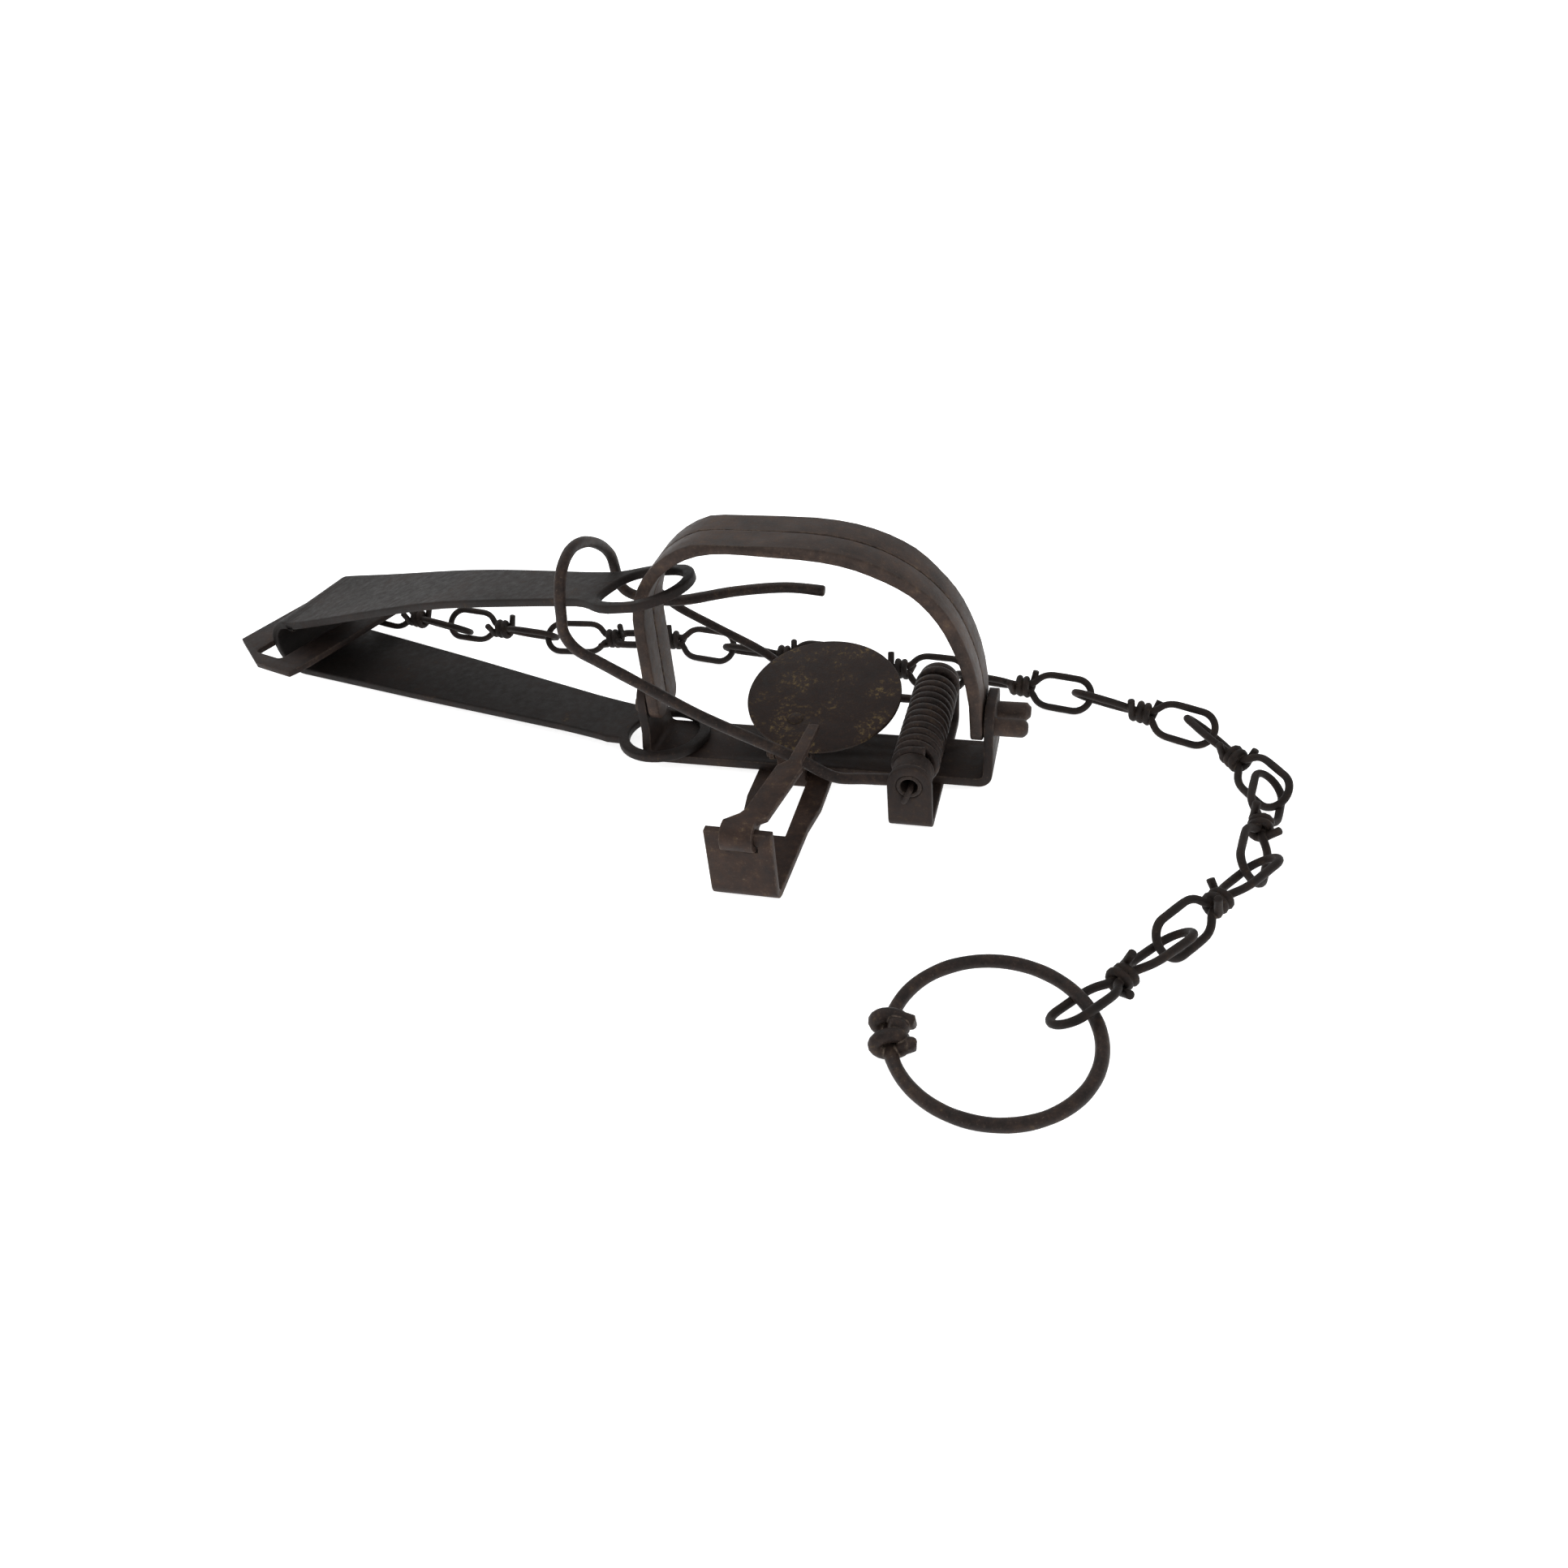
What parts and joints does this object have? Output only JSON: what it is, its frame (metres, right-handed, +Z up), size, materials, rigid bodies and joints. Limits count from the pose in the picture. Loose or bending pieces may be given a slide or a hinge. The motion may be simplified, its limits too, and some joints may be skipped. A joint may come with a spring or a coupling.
{
  "type": "long-spring foothold trap",
  "caption": "Sprung long-spring foothold trap with a round pan, dog, coil-sprung wire guard, swivelled lock-link chain and end ring.",
  "frame": {"origin": "on the table, 50 mm from the outer face of the left-hand post and midway between the jaw pivots", "axes": "+X from the spring's bend towards the right-hand post, +Y towards the back jaw, +Z up"},
  "size_m": [0.3473, 0.1987, 0.0732],
  "materials": {
    "strip_steel": "dark brown oxidised, worn",
    "pan_steel": "dark brown oxidised, worn",
    "wire_steel": "dark brown oxidised, worn",
    "chain_steel": "dark brown oxidised, worn",
    "pin_steel": "dark brown oxidised, worn"
  },
  "bodies": {
    "base": {"base_strip": "strip_steel", "dog_cross": "strip_steel", "coil_bracket": "strip_steel", "base_rivets": "pin_steel", "coil_tube": "pin_steel", "guard_coil": "wire_steel"},
    "front_jaw": {"jaw_front": "strip_steel"},
    "back_jaw": {"jaw_back": "strip_steel"},
    "spring": {"spring_lower_leaf": "strip_steel"},
    "spring_leaf": {"spring_upper_leaf": "strip_steel"},
    "trigger_dog": {"dog": "strip_steel"},
    "pan_unit": {"pan": "pan_steel", "pan_shank": "pan_steel", "pan_rivet": "pin_steel", "pan_pin": "pin_steel"},
    "guard": {"guard_collar": "wire_steel", "guard_frame": "wire_steel", "guard_spring_leg": "wire_steel"},
    "plate": {"chain_plate": "strip_steel"},
    "link_01": {"chain_link_01": "chain_steel"},
    "link_02": {"chain_link_02": "chain_steel"},
    "swivel_rear": {"swivel_eye": "chain_steel"},
    "swivel_front": {"swivel_stem": "chain_steel"},
    "link_03": {"chain_link_03": "chain_steel"},
    "link_04": {"chain_link_04": "chain_steel"},
    "link_05": {"chain_link_05": "chain_steel"},
    "link_06": {"chain_link_06": "chain_steel"},
    "link_07": {"chain_link_07": "chain_steel"},
    "link_08": {"chain_link_08": "chain_steel"},
    "link_09": {"chain_link_09": "chain_steel"},
    "link_10": {"chain_link_10": "chain_steel"},
    "ring": {"end_ring": "chain_steel"}
  },
  "joints": [
    {"name": "spring_swivel", "type": "hinge", "parent": "base", "child": "spring", "pos_m": [-0.0462, -0.0004, 0.004], "axis": [0, 0, 1], "range_deg": [-2, 8]},
    {"name": "spring_press", "type": "hinge", "parent": "spring", "child": "spring_leaf", "pos_m": [-0.18567, 0.04277, 0.02275], "axis": [0.2957, 0.9553, 0], "range_deg": [0, 17], "stiffness_Nm_per_rad": 15, "springref_deg": -25.78, "deforming": ["spring_upper_leaf"]},
    {"name": "jaw_front_open", "type": "hinge", "parent": "base", "child": "front_jaw", "pos_m": [0, -0.0042, 0.0192], "axis": [1, 0, 0], "range_deg": [0, 90]},
    {"name": "jaw_back_open", "type": "hinge", "parent": "base", "child": "back_jaw", "pos_m": [0, 0.0042, 0.0192], "axis": [-1, 0, 0], "range_deg": [0, 90]},
    {"name": "dog_swing", "type": "hinge", "parent": "base", "child": "trigger_dog", "pos_m": [-0.0034, -0.0624, 0.0205], "axis": [1, 0, 0], "range_deg": [0, 170]},
    {"name": "guard_swing", "type": "hinge", "parent": "base", "child": "guard", "pos_m": [0.0332, 0, 0.0145], "axis": [0, 1, 0], "range_deg": [-23, 0]},
    {"name": "pan_tilt", "type": "hinge", "parent": "base", "child": "pan_unit", "pos_m": [-0.0036, -0.012, 0.0113], "axis": [1, 0, 0], "range_deg": [-14, 0]},
    {"name": "plate_turn", "type": "hinge", "parent": "spring", "child": "plate", "pos_m": [-0.1941, 0.06171, 0.0052], "axis": [0, 0, -1], "range_deg": [0, 2.5]},
    {"name": "link_01_turn", "type": "hinge", "parent": "plate", "child": "link_01", "pos_m": [-0.18213, 0.06115, 0.0052], "axis": [0, 0, 1], "range_deg": [0, 5]},
    {"name": "link_02_turn", "type": "hinge", "parent": "link_01", "child": "link_02", "pos_m": [-0.1443, 0.05704, 0.0052], "axis": [0, 0, 1], "range_deg": [0, 8]},
    {"name": "swivel_turn", "type": "hinge", "parent": "link_02", "child": "swivel_rear", "pos_m": [-0.106, 0.0557, 0.0052], "axis": [0, 0, 1], "range_deg": [0, 10]},
    {"name": "swivel_spin", "type": "hinge", "parent": "swivel_rear", "child": "swivel_front", "pos_m": [-0.0846, 0.0562, 0.00485], "axis": [0.9986, 0.0535, 0], "range_deg": [-12, 0]},
    {"name": "link_03_turn", "type": "hinge", "parent": "swivel_front", "child": "link_03", "pos_m": [-0.0421, 0.05385, 0.0052], "axis": [0, 0, 1], "range_deg": [0, 10]},
    {"name": "link_04_turn", "type": "hinge", "parent": "link_03", "child": "link_04", "pos_m": [-0.0022, 0.0488, 0.0052], "axis": [0, 0, 1], "range_deg": [0, 10]},
    {"name": "link_05_turn", "type": "hinge", "parent": "link_04", "child": "link_05", "pos_m": [0.03725, 0.04475, 0.0052], "axis": [0, 0, 1], "range_deg": [0, 10]},
    {"name": "link_06_turn", "type": "hinge", "parent": "link_05", "child": "link_06", "pos_m": [0.0762, 0.03635, 0.0052], "axis": [0, 0, 1], "range_deg": [0, 10]},
    {"name": "link_07_turn", "type": "hinge", "parent": "link_06", "child": "link_07", "pos_m": [0.10925, 0.0225, 0.0052], "axis": [0, 0, 1], "range_deg": [0, 10]},
    {"name": "link_08_turn", "type": "hinge", "parent": "link_07", "child": "link_08", "pos_m": [0.12575, -0.0035, 0.0052], "axis": [0, 0, 1], "range_deg": [0, 10]},
    {"name": "link_09_turn", "type": "hinge", "parent": "link_08", "child": "link_09", "pos_m": [0.12025, -0.038, 0.0052], "axis": [0, 0, 1], "range_deg": [-3, 8]},
    {"name": "link_10_turn", "type": "hinge", "parent": "link_09", "child": "link_10", "pos_m": [0.1007, -0.0675, 0.0052], "axis": [0, 0, 1], "range_deg": [-3, 8]},
    {"name": "ring_turn", "type": "hinge", "parent": "link_10", "child": "ring", "pos_m": [0.08186, -0.08672, 0.0042], "axis": [0, 0, 1], "range_deg": [-8, 8]}
  ],
  "couplings": [
    {"joint": "jaw_front_open", "follows": "spring_press", "ratio": 5.2941},
    {"joint": "jaw_back_open", "follows": "spring_press", "ratio": 5.2941},
    {"joint": "dog_swing", "follows": "spring_press", "ratio": 10},
    {"joint": "guard_swing", "follows": "spring_press", "ratio": -1.3529}
  ]
}
